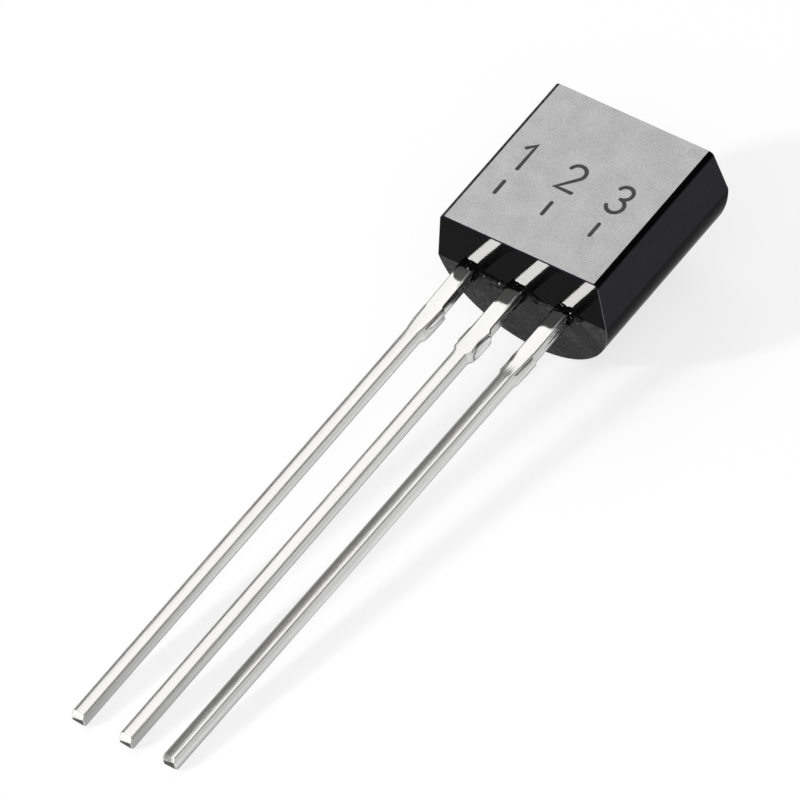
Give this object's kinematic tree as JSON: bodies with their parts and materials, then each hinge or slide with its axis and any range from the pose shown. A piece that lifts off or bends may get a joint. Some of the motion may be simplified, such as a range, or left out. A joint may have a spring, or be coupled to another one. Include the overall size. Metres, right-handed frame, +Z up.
{
  "type": "to-92 transistor",
  "caption": "Small-signal transistor: black moulded case with a flat face and a round back, and a row of long straight tinned leads. It lies flat face up.",
  "frame": {"origin": "middle of the footprint, on the surface that the transistor lies on", "axes": "+X across the lead row from the emitter lead to the collector lead, +Y along the leads towards the closed end of the case, +Z up, out of the flat face"},
  "size_m": [0.0046, 0.0192, 0.0038],
  "materials": {
    "epoxy": "moulded epoxy, fine matte flat and back, glossier sides",
    "tin_plate": "satin tin plate",
    "silicon": "polished silicon",
    "solder": "dull solder",
    "gold": "drawn gold wire"
  },
  "bodies": {
    "root": {"body": "epoxy", "lead_emitter": "tin_plate", "lead_base": "tin_plate", "lead_collector": "tin_plate", "die": "silicon", "die_attach": "solder", "bond_wire_base": "gold", "bond_wire_emitter": "gold"}
  },
  "joints": []
}
